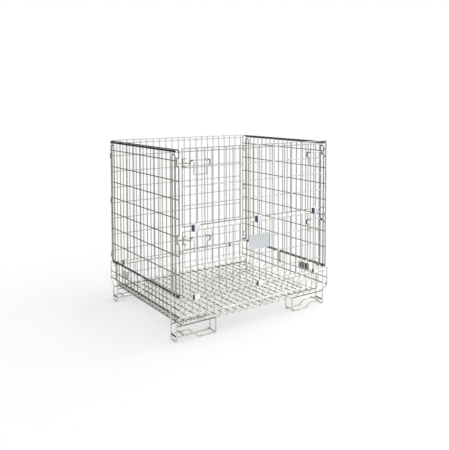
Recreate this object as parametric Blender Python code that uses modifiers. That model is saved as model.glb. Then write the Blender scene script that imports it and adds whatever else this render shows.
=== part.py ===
"""Folding wire mesh container, 1200 x 1000 mm, as an assembly of separate pieces.

Metres, +Z up. The gate side faces -Y and the right-hand side is +X. The origin is
on the floor, under the middle of the container's bounding box.
"""

import math

import bmesh
import bpy
from mathutils import Matrix, Vector

# ---------------------------------------------------------------- driving sizes
SIDE_X = 0.600  # hinge rods of the two side walls, and the wires of the side upstands
END_Y = 0.503  # hinge rails and mesh planes of the front and back walls
DEPTH_SHIFT = 0.0069  # puts the origin under the middle, the latches being at the front
WIRE = 0.006  # thickness of a mesh wire
ROD_R = 0.0045  # hinge rods, hinge rails and posts
TOUCH = 0.0003  # gap kept between pieces that touch

DECK_Z = 0.104
SIDE_HINGE_Z = 0.285
FRONT_HINGE_Z = 0.261
BACK_HINGE_Z = 0.242
GATE_HINGE_Z = 0.714

# Heights of the lying wires in each wall, from the bottom wire to the top wire
UPSTAND_LEVELS = [0.158, 0.207]
SIDE_LEVELS = [0.300, 0.421, 0.535, 0.649, 0.761, 0.876, 0.989, 1.108, 1.174]
BACK_LEVELS = [0.264, 0.357, 0.477, 0.597, 0.713, 0.828, 0.945, 1.061, 1.176]
LOWER_LEVELS = [0.283, 0.361, 0.469, 0.576, 0.684]
GATE_LEVELS = [GATE_HINGE_Z, 0.841, 0.956, 1.068, 1.183]

SIDE_MESH_X = SIDE_X + 0.0022  # side mesh, just inside the posts
SIDE_MESH_Y = 0.491  # edge wires of the side mesh
END_MESH_X = 0.581  # edge wires of the front and back mesh, which fold in past the posts' eyes
WALL_PITCH = 0.1292  # widest spacing of the wires in this model, about every second wire
DECK_EDGE_X = 0.568  # where the deck ends and the slanting part of the base starts
DECK_EDGE_Y = 0.4665
FOLD_Z = 0.150  # where the slanting part of the base turns upright
DECK_GAP = 0.0065  # from the middle of the deck's last wire to the slanting part's lower edge
MITRE = 0.0325  # how far the side upstands' slanting ends run in towards the deck's corners
BASE_PITCH = 0.0545  # spacing of the base's wires along X
FRONT_PITCH = 0.0531  # spacing of the front's standing wires

POST_X = SIDE_X + 0.010
POST_Y = 0.4405  # middle of a post, which is a hairpin of two legs
POST_HALF = 0.0195
POST_TOP = 1.146
EYE_R = POST_X - SIDE_X  # the eyes that the post's legs end in, round the hinge rod
BESIDE_POST = POST_Y + POST_HALF + ROD_R + TOUCH

RAIL_R = 0.006
RAIL_X = SIDE_MESH_X + WIRE / 2 + TOUCH + RAIL_R
RAIL_Z = 1.165
RAIL_HALF = 0.462

CLIP_W = 0.045
CLIP_INNER = 0.0053
CLIP_WALL = 0.0015
STRAP_LOW = 0.192  # lower end of the straps over the side hinge rods
CLIPS = (-9 * BASE_PITCH, 0, 9 * BASE_PITCH)  # the front's and the back's hinge clips
GATE_CLIPS = (-0.494, -0.010, 0.490)  # the clips that the gate turns in, from left to right
GATE_CLIP_W = 0.052

LATCH_R = 0.0035
LATCH_OUT = END_Y + 0.012  # the latch wire runs in front of the mesh
LATCH_IN = 0.475  # its bolt runs behind the mesh and through the side wall
BOLT_TIP = 0.593
BOLT_DROP = 0.018  # the bolt is this far under the latch's rod
LATCH_LEVELS = {"upper": 1.111, "lower": 0.645}
NOTCH_BELOW = {"upper": 6, "lower": 2}  # the side's lying wire under each bolt's notch
NOTCH_DROP = 0.036  # how far under the bolt the notch's lower wire is
GUIDE_X = 8 * FRONT_PITCH
GUIDE_MAJOR = 0.0065
GUIDE_MINOR = 0.0022
CATCH_LEVELS = {"upper": 1.066, "middle": 0.736, "lower": 0.336}

FOOT_R = 0.004
FOOT_IN = 0.320
FOOT_OUT = 0.6077
FOOT_YS = (0.394, 0.460)
FOOT_TOP = 0.2795  # the foot's loop goes on up, beside the hinge rod
SKID_LOW = FOOT_R
SKID_HIGH = 0.034

SIDES = {"left": -1, "right": 1}

# Turns that stand a flat plate up, facing along X or along Y
FACING_X = Matrix(((0, 0, 1), (1, 0, 0), (0, 1, 0))).to_4x4()
FACING_Y = Matrix.Rotation(math.radians(90), 4, "X")


# ------------------------------------------------------------------- materials
def steel(name, colour, roughness):
    """A zinc-plated steel in a given brightness."""
    material = bpy.data.materials.new(name)
    material.use_nodes = True
    shader = material.node_tree.nodes["Principled BSDF"]
    shader.inputs["Base Color"].default_value = (*colour, 1.0)
    shader.inputs["Metallic"].default_value = 0.9
    shader.inputs["Roughness"].default_value = roughness
    return material


FINISHES = {
    "wire": ((0.62, 0.63, 0.63), 0.38),
    "rod": ((0.40, 0.40, 0.38), 0.42),
    "sheet": ((0.70, 0.73, 0.78), 0.45),
    "plate": ((0.50, 0.54, 0.60), 0.50),
}


# ------------------------------------------------------------------- modelling
ASSEMBLY = "wire_mesh_container"
HELPERS = ASSEMBLY + "_cutters"


def clear_scene():
    for thing in list(bpy.data.objects):
        bpy.data.objects.remove(thing)


class Workshop:
    """Collects the pieces in one collection, under one empty that sets the origin."""

    def __init__(self):
        self.parts = bpy.data.collections.new(ASSEMBLY)
        helpers = bpy.data.collections.new(HELPERS)
        bpy.context.scene.collection.children.link(self.parts)
        bpy.context.scene.collection.children.link(helpers)
        self.root = self.pivot("container_origin", (0, DEPTH_SHIFT, 0), None)

    def pivot(self, name, place, parent):
        """An empty; a moving body's empty lies on its joint's axis."""
        empty = bpy.data.objects.new(name, None)
        empty.empty_display_size = 0.05
        empty.location = place
        if parent is not None:
            empty.parent = parent
            empty.location = Vector(place) - absolute(parent)
        self.parts.objects.link(empty)
        return empty

    def keep(self, name, mesh, pivot, finish, smooth=False):
        """Makes a named piece of a mesh that is drawn in the container's frame."""
        mesh.name = name
        mesh.transform(Matrix.Translation(-absolute(pivot)))
        piece = bpy.data.objects.new(name, mesh)
        piece.parent = pivot
        colour, roughness = FINISHES[finish]
        mesh.materials.clear()
        mesh.materials.append(steel(name + "_" + finish, colour, roughness))
        if smooth:
            mesh.shade_smooth()
            mesh.set_sharp_from_angle(angle=math.radians(50))
        self.parts.objects.link(piece)
        return piece


def absolute(empty):
    """An empty's place in the container's own frame, before the origin's shift."""
    place = Vector((0, 0, 0))
    while empty.parent is not None:
        place += empty.location
        empty = empty.parent
    return place


def helper(data):
    """A working object, kept apart from the pieces until its mesh is taken."""
    thing = bpy.data.objects.new("helper", data)
    thing.hide_render = True
    thing.display_type = "WIRE"
    bpy.data.collections[HELPERS].objects.link(thing)
    return thing


def mesh_from(bm):
    mesh = bpy.data.meshes.new("piece")
    bm.normal_update()
    bm.to_mesh(mesh)
    bm.free()
    return mesh


def evaluated_mesh(thing):
    """The mesh of an object with its modifiers, or of a curve, with its caps welded."""
    bpy.context.view_layer.update()
    graph = bpy.context.evaluated_depsgraph_get()
    mesh = bpy.data.meshes.new_from_object(thing.evaluated_get(graph))
    bm = bmesh.new()
    bm.from_mesh(mesh)
    bmesh.ops.remove_doubles(bm, verts=bm.verts, dist=0.00001)
    bm.to_mesh(mesh)
    bm.free()
    bpy.data.objects.remove(thing)
    return mesh


def spaced(low, high, widest):
    """Evenly spaced positions from low to high, no further apart than widest."""
    count = math.ceil((high - low) / widest - 1e-6)
    return [low + (high - low) * i / count for i in range(count + 1)]


def mirrored(positions):
    return sorted([-p for p in positions] + list(positions))


def lattice(across, up, place, teeth=None, notches=()):
    """A welded grille: a grid with its cells cut out, and Solidify for the wires.

    across and up hold the middles of the wires. place maps (across, up) to a point.
    With teeth, the standing wires run on past the last lying wire, up to that height.
    The first standing wire is left out between each lying wire in notches and the next.
    """
    half = WIRE / 2
    columns = [c + side for c in across for side in (-half, half)]
    rows = [r + side for r in up for side in (-half, half)]
    if teeth is not None:
        rows.append(teeth)
    bm = bmesh.new()
    bmesh.ops.create_grid(bm, x_segments=len(columns) - 1, y_segments=len(rows) - 1, size=1)
    cells = {}
    for face in bm.faces:
        middle = face.calc_center_median()
        i = round((middle.x + 1) / 2 * (len(columns) - 1) - 0.5)
        j = round((middle.y + 1) / 2 * (len(rows) - 1) - 0.5)
        cells[face] = (i, j)
    for vert in bm.verts:
        i = round((vert.co.x + 1) / 2 * (len(columns) - 1))
        j = round((vert.co.y + 1) / 2 * (len(rows) - 1))
        vert.co = place(columns[i], rows[j])
    cut = [(0, 2 * level + 1) for level in notches]
    gaps = [face for face, (i, j) in cells.items() if i * j % 2 == 1 or (i, j) in cut]
    bmesh.ops.delete(bm, geom=gaps, context="FACES")
    sheet = helper(mesh_from(bm))
    wires = sheet.modifiers.new("wires", "SOLIDIFY")
    wires.thickness = WIRE
    wires.offset = 0
    wires.use_even_offset = True
    return evaluated_mesh(sheet)


def rod(start, end, radius, sides=8):
    """A straight round bar between two points."""
    start, end = Vector(start), Vector(end)
    run = end - start
    bm = bmesh.new()
    bmesh.ops.create_cone(
        bm, cap_ends=True, segments=sides, radius1=radius, radius2=radius, depth=run.length
    )
    turn = run.to_track_quat("Z", "Y").to_matrix().to_4x4()
    bmesh.ops.rotate(bm, verts=bm.verts, matrix=turn, cent=(0, 0, 0))
    bmesh.ops.translate(bm, verts=bm.verts, vec=(start + end) / 2)
    return mesh_from(bm)


def rounded(points, radius, steps=4):
    """The route through the points, with each inner corner rounded by an arc."""
    route = [Vector(points[0])]
    for before, corner, after in zip(points, points[1:], points[2:]):
        corner = Vector(corner)
        inward = (Vector(before) - corner).normalized()
        outward = (Vector(after) - corner).normalized()
        half = inward.angle(outward) / 2
        reach = radius / math.tan(half)
        centre = corner + (inward + outward).normalized() * (radius / math.sin(half))
        first = corner + inward * reach - centre
        last = corner + outward * reach - centre
        sweep = first.angle(last)
        for k in range(steps + 1):
            t = k / steps
            share = math.sin((1 - t) * sweep) * first + math.sin(t * sweep) * last
            route.append(centre + share / math.sin(sweep))
    route.append(Vector(points[-1]))
    return route


def bent_wire(route, radius, closed=False):
    """A wire along a route: a curve with a round bevel, and filled caps if it ends."""
    curve = bpy.data.curves.new("wire", "CURVE")
    curve.dimensions = "3D"
    curve.bevel_depth = radius
    curve.bevel_resolution = 1
    curve.use_fill_caps = not closed
    spline = curve.splines.new("POLY")
    spline.points.add(len(route) - 1)
    for point, place in zip(spline.points, route):
        point.co = (*place, 1.0)
    spline.use_cyclic_u = closed
    return evaluated_mesh(helper(curve))


def joined(meshes):
    """One closed body of several that cross each other."""
    base = helper(meshes[0])
    cutters = [helper(mesh) for mesh in meshes[1:]]
    for other in cutters:
        union = base.modifiers.new("join", "BOOLEAN")
        union.operation = "UNION"
        union.solver = "EXACT"
        union.object = other
    mesh = evaluated_mesh(base)
    for other in cutters:
        bpy.data.objects.remove(other)
    return mesh


def flat_plate(width, height, thickness, chamfer):
    """A plate with chamfered corners, lying in XY and centred on the origin."""
    curve = bpy.data.curves.new("plate", "CURVE")
    curve.dimensions = "2D"
    curve.fill_mode = "BOTH"
    curve.extrude = thickness / 2
    x, y = width / 2, height / 2
    outline = [
        (x - chamfer, -y), (x, -y + chamfer), (x, y - chamfer), (x - chamfer, y),
        (-x + chamfer, y), (-x, y - chamfer), (-x, -y + chamfer), (-x + chamfer, -y),
    ]
    spline = curve.splines.new("POLY")
    spline.points.add(len(outline) - 1)
    for point, (px, py) in zip(spline.points, outline):
        point.co = (px, py, 0, 1.0)
    spline.use_cyclic_u = True
    return evaluated_mesh(helper(curve))


def sheet_wrap(profile, width, axis_x):
    """A strip of sheet metal: an open profile in YZ, drawn out along X, and thickened.

    The profile runs through the middle of the sheet. axis_x is the strip's middle.
    """
    bm = bmesh.new()
    verts = [bm.verts.new((axis_x - width / 2, y, z)) for y, z in profile]
    edges = [bm.edges.new(pair) for pair in zip(verts, verts[1:])]
    drawn = bmesh.ops.extrude_edge_only(bm, edges=edges)
    moved = [v for v in drawn["geom"] if isinstance(v, bmesh.types.BMVert)]
    bmesh.ops.translate(bm, verts=moved, vec=(width, 0, 0))
    strip = helper(mesh_from(bm))
    wall = strip.modifiers.new("wall", "SOLIDIFY")
    wall.thickness = CLIP_WALL
    wall.offset = 0
    wall.use_even_offset = True
    return evaluated_mesh(strip)


def arc(centre, radius, start, end, steps):
    """Points round an arc in a plane, from one angle to another, in degrees."""
    points = []
    for k in range(steps + 1):
        angle = math.radians(start + (end - start) * k / steps)
        points.append((centre[0] + radius * math.cos(angle), centre[1] + radius * math.sin(angle)))
    return points


# ------------------------------------------------------------------------ base
def base_wires():
    """Wires of the base along Y: none where a hinge clip turns round its rail."""
    return mirrored([BASE_PITCH * (2 * k + 0.5) for k in range(6)])


def build_deck(shop):
    half_x = DECK_EDGE_X - DECK_GAP
    half_y = DECK_EDGE_Y - DECK_GAP
    across = spaced(-half_x, half_x, WALL_PITCH)
    along = spaced(-half_y, half_y, WALL_PITCH)
    mesh = lattice(across, along, lambda x, y: (x, y, DECK_Z))
    shop.keep("deck_mesh", mesh, shop.root, "wire")


def fold_length(edge, wall):
    """Length of the slanting part, from the deck's edge to where it turns upright."""
    return math.hypot(wall - edge, FOLD_Z - DECK_Z)


def upstand_point(edge, wall, up):
    """A point of an upstand's section, up from the deck's edge: slanting, then upright."""
    fold = fold_length(edge, wall)
    if up < fold:
        share = up / fold
        return edge + (wall - edge) * share, DECK_Z + (FOLD_Z - DECK_Z) * share
    return wall, FOLD_Z + up - fold


def build_side_upstand(shop, side, sign):
    """The mesh that slants out from the deck's edge, and stands up to a side's hinge rod."""
    fold = fold_length(DECK_EDGE_X, SIDE_X)
    last = SIDE_MESH_Y - WIRE

    def place(y, up):
        x, z = upstand_point(DECK_EDGE_X, SIDE_X, up)
        if abs(y) > last:
            y -= math.copysign(MITRE * max(0, 1 - up / fold), y)
        return (sign * x, y, z)

    across = spaced(-SIDE_MESH_Y, SIDE_MESH_Y, WALL_PITCH)
    rows = [WIRE / 2] + [fold + z - FOLD_Z for z in UPSTAND_LEVELS]
    top = fold + SIDE_HINGE_Z - ROD_R - TOUCH - FOLD_Z
    mesh = lattice(across, rows, place, top)
    shop.keep(side + "_upstand", mesh, shop.root, "wire")


def build_end_upstand(shop, name, sign, hinge_z):
    """The same at the front or the back, standing up to that end's hinge rail."""
    fold = fold_length(DECK_EDGE_Y, END_Y)

    def place(x, up):
        y, z = upstand_point(DECK_EDGE_Y, END_Y, up)
        return (x, sign * y, z)

    top = fold + hinge_z - ROD_R - TOUCH - FOLD_Z
    mesh = lattice(base_wires(), [WIRE / 2, fold, fold + 0.046], place, top)
    shop.keep(name + "_upstand", mesh, shop.root, "wire")


def build_hinge_rods(shop):
    half = SIDE_MESH_Y
    for side, sign in SIDES.items():
        x = sign * SIDE_X
        mesh = rod((x, -half, SIDE_HINGE_Z), (x, half, SIDE_HINGE_Z), ROD_R)
        shop.keep(side + "_hinge_rod", mesh, shop.root, "rod", smooth=True)
    for name, y, z in (("front", -END_Y, FRONT_HINGE_Z), ("back", END_Y, BACK_HINGE_Z)):
        mesh = rod((-END_MESH_X, y, z), (END_MESH_X, y, z), ROD_R)
        shop.keep(name + "_hinge_rail", mesh, shop.root, "rod", smooth=True)


def build_foot(shop, name, sx, sy):
    """Two bent skid wires, the loop at their outer end, and the bars across them.

    The loop's two legs go on up to the hinge rod: one straight, and one along the corner.
    """
    top = DECK_Z - WIRE / 2 - TOUCH
    bars = []
    for y in FOOT_YS:
        skid = [
            (FOOT_IN, top), (FOOT_IN, SKID_LOW), (0.446, SKID_LOW), (0.484, SKID_HIGH),
            (FOOT_OUT, SKID_HIGH),
        ]
        route = rounded([(sx * x, sy * y, z) for x, z in skid], 0.010, 2)
        bars.append(bent_wire(route, FOOT_R))
    near, far = FOOT_YS
    loop = [
        (near, FOOT_TOP), (near, SKID_LOW), (far, SKID_LOW), (far, DECK_Z),
        (END_Y, FOLD_Z), (END_Y, FOOT_TOP),
    ]
    route = rounded([(sx * FOOT_OUT, sy * y, z) for y, z in loop], 0.010, 2)
    bars.append(bent_wire(route, FOOT_R))
    reach = 0.008
    for x, z in ((FOOT_IN + 0.012, SKID_LOW + 0.007), (0.560, SKID_HIGH + 0.007)):
        start = (sx * x, sy * (near - reach), z)
        end = (sx * x, sy * (far + reach), z)
        bars.append(rod(start, end, FOOT_R, 6))
    shop.keep(name, joined(bars), shop.root, "rod", smooth=True)


def build_base_plates(shop):
    """The identification plates and the straps on the two side upstands."""
    outside = SIDE_X + WIRE / 2 + TOUCH
    for side, sign in SIDES.items():
        plate = flat_plate(0.116, 0.048, 0.002, 0.003)
        plate.transform(FACING_X)
        plate.transform(Matrix.Translation((sign * (outside + 0.001), -sign * 0.268, 0.236)))
        shop.keep(side + "_id_plate", plate, shop.root, "plate")

        wrap = ROD_R + TOUCH + CLIP_WALL / 2
        hook = arc((SIDE_X, SIDE_HINGE_Z), wrap, 0, 180, 6)
        profile = [(SIDE_X + wrap, STRAP_LOW)] + hook + [(SIDE_X - wrap, SIDE_HINGE_Z - 0.006)]
        strap = sheet_wrap([(-sign * a, z) for a, z in profile], 0.028, 0.011)
        strap.transform(Matrix.Rotation(math.radians(90), 4, "Z"))
        shop.keep(side + "_centre_strap", strap, shop.root, "sheet")


# ------------------------------------------------------------------------ walls
def build_catch(shop, name, sign, z, pivot):
    """A staple between the back post and the side wall's edge wire, open to the post."""
    x = sign * (SIDE_MESH_X + WIRE + TOUCH)
    half = 0.0175
    corners = [
        (BESIDE_POST, z - half), (SIDE_MESH_Y, z - half),
        (SIDE_MESH_Y, z + half), (BESIDE_POST, z + half),
    ]
    route = rounded([(x, y, h) for y, h in corners], 0.006, 2)
    shop.keep(name, bent_wire(route, WIRE / 2), pivot, "rod", smooth=True)


def build_keeper(shop, name, sign, level, pivot):
    """The side wall's front edge wire where it bends inwards, round a bolt's notch."""
    below = SIDE_LEVELS[NOTCH_BELOW[level]] + WIRE / 2 + TOUCH
    above = SIDE_LEVELS[NOTCH_BELOW[level] + 1] - WIRE / 2 - TOUCH
    turn = LATCH_LEVELS[level] - BOLT_DROP - NOTCH_DROP
    corners = [
        (SIDE_MESH_Y, below), (SIDE_MESH_Y, turn), (BESIDE_POST, turn), (BESIDE_POST, above),
    ]
    route = rounded([(sign * SIDE_MESH_X, -y, h) for y, h in corners], 0.006, 2)
    shop.keep(name, bent_wire(route, WIRE / 2), pivot, "wire", smooth=True)


def build_side_wall(shop, side, sign):
    pivot = shop.pivot(side + "_fold_axis", (sign * SIDE_X, 0, SIDE_HINGE_Z), shop.root)
    across = spaced(-SIDE_MESH_Y, SIDE_MESH_Y, WALL_PITCH)
    notches = NOTCH_BELOW.values()
    mesh = lattice(across, SIDE_LEVELS, lambda y, z: (sign * SIDE_MESH_X, y, z), notches=notches)
    shop.keep(side + "_wall_mesh", mesh, pivot, "wire")

    x = sign * RAIL_X
    rail = rod((x, -RAIL_HALF, RAIL_Z), (x, RAIL_HALF, RAIL_Z), RAIL_R)
    shop.keep(side + "_top_rail", rail, pivot, "rod", smooth=True)

    x = sign * POST_X
    for end, y_sign in (("front", -1), ("back", 1)):
        legs, crown = [], []
        for y in (POST_Y - POST_HALF, POST_Y + POST_HALF):
            eye = arc((SIDE_X, SIDE_HINGE_Z), EYE_R, -225, 0, 6)
            legs.append([(sign * a, y_sign * y, z) for a, z in eye])
            crown.append((x, y_sign * y, POST_TOP))
        bend = rounded([legs[0][-1], *crown, legs[1][-1]], 0.012, 3)[1:-1]
        route = [Vector(p) for p in legs[0]] + bend + [Vector(p) for p in reversed(legs[1])]
        shop.keep(f"{side}_{end}_post", bent_wire(route, ROD_R), pivot, "rod", smooth=True)

    for level in LATCH_LEVELS:
        build_keeper(shop, f"{side}_{level}_keeper", sign, level, pivot)
    for level, z in CATCH_LEVELS.items():
        build_catch(shop, f"{side}_{level}_catch", sign, z, pivot)


def hinge_clips(shop, stem, places, width, y, z, reach, pivot):
    """Clips bent round a rail at (y, z), each with two cheeks that reach up or down."""
    bend = arc((y, z), CLIP_INNER + CLIP_WALL / 2, 180, 360 if reach > 0 else 0, 6)
    tip = z + reach
    profile = [(bend[0][0], tip)] + bend + [(bend[-1][0], tip)]
    for where, x in zip(("left", "middle", "right"), places):
        shop.keep(f"{stem}_{where}", sheet_wrap(profile, width, x), pivot, "sheet")


def build_back_wall(shop):
    pivot = shop.pivot("back_fold_axis", (0, END_Y, BACK_HINGE_Z), shop.root)
    across = spaced(-END_MESH_X, END_MESH_X, WALL_PITCH)
    mesh = lattice(across, BACK_LEVELS, lambda x, z: (x, END_Y, z))
    shop.keep("back_wall_mesh", mesh, pivot, "wire")
    hinge_clips(shop, "back_hinge_clip", CLIPS, CLIP_W, END_Y, BACK_HINGE_Z, 0.031, pivot)


def front_wires():
    """Standing wires of the front: none where a gate hinge clip is."""
    inner = spaced(FRONT_PITCH, GUIDE_X, WALL_PITCH)
    return mirrored(inner + [10 * FRONT_PITCH, END_MESH_X])


def build_guide(shop, name, sign, z, pivot):
    """The ring on a standing wire that a latch's rod slides in."""
    middle = Vector((sign * GUIDE_X, -LATCH_OUT, z))
    ring = arc((middle.y, middle.z), GUIDE_MAJOR, 0, 330, 11)
    route = [(middle.x, y, z) for y, z in ring]
    shop.keep(name, bent_wire(route, GUIDE_MINOR, closed=True), pivot, "rod", smooth=True)


def build_latch(shop, name, sign, z, parent):
    """One bent wire: the rod in front, its handle, and the bolt behind the mesh."""
    pivot = shop.pivot(name + "_slide", (sign * GUIDE_X, -LATCH_OUT, z), parent)
    bolt = z - BOLT_DROP
    corners = [
        (BOLT_TIP, LATCH_IN, bolt), (0.552, LATCH_IN, bolt), (0.552, LATCH_OUT, bolt),
        (0.530, LATCH_OUT, z), (0.398, LATCH_OUT, z), (0.398, LATCH_OUT, z - 0.030),
        (0.420, LATCH_OUT, z - 0.030), (0.420, LATCH_OUT, z - 0.086),
        (0.513, LATCH_OUT, z - 0.086), (0.513, LATCH_OUT, z - 0.012),
    ]
    route = rounded([(sign * x, -y, h) for x, y, h in corners], 0.008, 2)
    shop.keep(name, bent_wire(route, LATCH_R), pivot, "rod", smooth=True)


def build_front(shop):
    lower = shop.pivot("front_fold_axis", (0, -END_Y, FRONT_HINGE_Z), shop.root)
    mesh = lattice(front_wires(), LOWER_LEVELS, lambda x, z: (x, -END_Y, z))
    shop.keep("front_lower_mesh", mesh, lower, "wire")
    hinge_clips(shop, "front_hinge_clip", CLIPS, CLIP_W, -END_Y, FRONT_HINGE_Z, 0.031, lower)
    hinge_clips(
        shop, "gate_hinge_clip", GATE_CLIPS, GATE_CLIP_W, -END_Y, GATE_HINGE_Z, -0.036, lower
    )
    plate = flat_plate(0.170, 0.096, 0.002, 0.006)
    plate.transform(FACING_Y)
    plate.transform(Matrix.Translation((-0.010, -END_Y - WIRE / 2 - TOUCH - 0.001, 0.553)))
    shop.keep("label_plate", plate, lower, "plate")

    gate = shop.pivot("gate_drop_axis", (0, -END_Y, GATE_HINGE_Z), lower)
    mesh = lattice(front_wires(), GATE_LEVELS, lambda x, z: (x, -END_Y, z))
    shop.keep("gate_mesh", mesh, gate, "wire")

    for level, parent in (("upper", gate), ("lower", lower)):
        z = LATCH_LEVELS[level]
        for side, sign in SIDES.items():
            build_guide(shop, f"{side}_{level}_guide", sign, z, parent)
            build_latch(shop, f"{side}_{level}_latch", sign, z, parent)


def main():
    clear_scene()
    shop = Workshop()
    build_deck(shop)
    for side, sign in SIDES.items():
        build_side_upstand(shop, side, sign)
    build_end_upstand(shop, "front", -1, FRONT_HINGE_Z)
    build_end_upstand(shop, "back", 1, BACK_HINGE_Z)
    build_hinge_rods(shop)
    for side, sx in SIDES.items():
        for end, sy in (("front", -1), ("back", 1)):
            build_foot(shop, f"{end}_{side}_foot", sx, sy)
    build_base_plates(shop)
    for side, sign in SIDES.items():
        build_side_wall(shop, side, sign)
    build_back_wall(shop)
    build_front(shop)


main()
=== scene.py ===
"""Looks of the folding wire mesh container: round wires, bent ends and zinc finishes.

Lengths are metres. Routes are drawn with the front and back mesh planes at equal
distances from y = 0, and place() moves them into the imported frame. A size that serves
both sides or both ends is given as a distance from the middle, and a sign mirrors it.
"""

import math

import bmesh
import bpy
from mathutils import Matrix, Vector


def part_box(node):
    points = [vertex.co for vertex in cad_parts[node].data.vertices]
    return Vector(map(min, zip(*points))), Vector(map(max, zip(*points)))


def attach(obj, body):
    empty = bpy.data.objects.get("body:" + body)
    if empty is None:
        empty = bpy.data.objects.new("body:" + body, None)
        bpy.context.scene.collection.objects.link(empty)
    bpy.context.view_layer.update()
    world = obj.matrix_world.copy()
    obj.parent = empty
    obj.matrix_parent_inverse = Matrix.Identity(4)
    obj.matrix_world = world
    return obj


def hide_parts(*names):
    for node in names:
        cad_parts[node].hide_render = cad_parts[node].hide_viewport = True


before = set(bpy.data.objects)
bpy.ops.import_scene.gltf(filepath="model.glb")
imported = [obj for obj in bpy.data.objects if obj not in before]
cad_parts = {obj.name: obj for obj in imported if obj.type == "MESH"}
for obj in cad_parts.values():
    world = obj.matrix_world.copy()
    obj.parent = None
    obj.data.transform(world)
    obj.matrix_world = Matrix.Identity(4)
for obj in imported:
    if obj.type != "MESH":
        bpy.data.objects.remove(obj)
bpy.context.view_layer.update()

SIDES = {"left": -1, "right": 1}
ENDS = {"front": -1, "back": 1}


# ------------------------------------------------------- sizes taken from the frame
def middle(node):
    low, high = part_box(node)
    return (low + high) / 2


def thickness(node, axis):
    low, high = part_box(node)
    return high[axis] - low[axis]


CAD_WIRE_R = 0.003

SHIFT = middle("left_hinge_rod").y  # how far back the mesh planes' middle is
SIDE_X = middle("right_hinge_rod").x
SIDE_HINGE_Z = middle("right_hinge_rod").z
ROD_R = thickness("right_hinge_rod", 0) / 2
END_Y = middle("back_hinge_rail").y - SHIFT
END_HINGE_Z = {end: middle(f"{end}_hinge_rail").z for end in ENDS}
MESH_X = middle("right_wall_mesh").x
GATE_HINGE_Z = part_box("gate_mesh")[0].z + CAD_WIRE_R
RAIL = middle("right_top_rail")
RAIL_R = thickness("right_top_rail", 0) / 2
RAIL_HALF = thickness("right_top_rail", 1) / 2

# ------------------------------------------------------------------- wire radii
WIRE_R = 0.0029  # mesh wires
HEAVY_R = 0.0038  # every second wire of the deck, and the bars along the base's ends
UPSTAND_R = 0.0025
DECK_SIDE_R = 0.0026
SIDE_EDGE_R = 0.0034
FRONT_EDGE_R = 0.0032
BACK_EDGE_R = 0.0030
GATE_BOTTOM_R = 0.0033
KEEPER_R = 0.0033
CATCH_R = 0.0030
FOOT_R = 0.0040
FOOT_TOP_R = 0.0030
FOOT_BAR_R = 0.0048
LATCH_R = 0.0035
LATCH_END_R = LATCH_R + 0.0003
CAGE_R = 0.0027
GUIDE_R = 0.0019

# ------------------------------------------------------------------ mesh panels
LAP = 0.0046  # crossing wires are welded with this between their middles
SIDE_LAP = 0.0030  # less in the side walls, which fold down onto each other
EDGE_X = 0.587  # edges of the front and back
EDGE_Y = 0.491  # edges of the side walls

SIDE_LEVELS = [0.2935, 0.421, 0.535, 0.649, 0.761, 0.876, 0.989, 1.108]
BACK_LEVELS = [0.264, 0.357, 0.477, 0.597, 0.713, 0.828, 0.945, 1.061, 1.155, 1.176]
LOWER_LEVELS = [0.283, 0.361, 0.469, 0.576, 0.684]
GATE_LEVELS = [GATE_HINGE_Z, 0.841, 0.956, 1.068, 1.165, 1.183]
SIDE_TOP = 1.174
SIDE_PITCH = 0.0517
BACK_PITCH = 0.0553
FRONT_PITCH = 0.0531
SIDE_HALF_COUNT = 9  # standing wires in half a side wall
BACK_HALF_COUNT = 10
FRONT_HALF_COUNT = 10
RIM_DROP = 0.018  # how far a side wall's rim turns down at its ends
RIM_BEND = 0.012

CUT_WIRES = (0, 9)  # the front's standing wires at the clips, and how far they go
CUT_SPANS = {"front_lower": (0.295, 0.676), "gate": (0.730, GATE_LEVELS[-1])}
BACK_CUT_START = 0.276

# ------------------------------------------------------------------------- base
BASE_PITCH = 0.0545
BASE_COLUMNS = 11  # long wires in half the deck
DECK_FIRST_Y = 0.030
DECK_STEP_Y = 0.0496
DECK_ROWS = 9  # cross wires in half the deck
DECK_Z = 0.1062
DECK_UNDER_Z = DECK_Z - LAP
DECK_EDGE_X = 0.568
DECK_EDGE_Y = 0.4665
FOLD_Z = 0.150  # where the slanted edges turn upright
BASE_BEND = 0.012
BASE_STEPS = 5  # steps in an arc of the base's wires
TURN_LEAD = 0.004  # the end upstands start this far inside the deck's edge
END_BARS = [  # half length, distance from the middle, and height
    (DECK_EDGE_X, DECK_EDGE_Y - 0.002, DECK_Z),
    (SIDE_X, END_Y, FOLD_Z + 0.020),
]
SLOPE_BAR = (DECK_EDGE_X, -0.486, 0.124)  # along the slanted part, at the front only
UPSTAND_X = SIDE_X + LAP - 0.0015
UPSTAND_WIRES = {"upper": (WIRE_R, 0.207), "lower": (HEAVY_R, 0.158)}

# ------------------------------------------------------------------------- feet
FOOT_IN = 0.320
FOOT_OUT = 0.6077
FOOT_YS = (0.394, 0.460)
FOOT_TOP = 0.279
SKID_TOP = 0.101
SKID_HIGH = 0.034
SKID_FLAT_END = 0.446
SKID_RISE_END = 0.484
SKID_BEND = 0.010
FOOT_BEND = 0.012
FOOT_BARS = ((FOOT_IN + 0.012, FOOT_R + 0.007), (0.560, SKID_HIGH + 0.007))
FOOT_BAR_PAST = 0.008
FOOT_TOPS_Z = 0.0975
DARK_BAR_SHORT = 0.004
DARK_BAR_Z = SKID_HIGH + 0.001

# ------------------------------------------------------------------------ posts
POST_X = 0.610
POST_YS = (0.421, 0.460)
POST_TOP = 1.146
POST_BEND = 0.0165
EYE_START = -225  # degrees
BESIDE_POST = 0.4648

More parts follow.
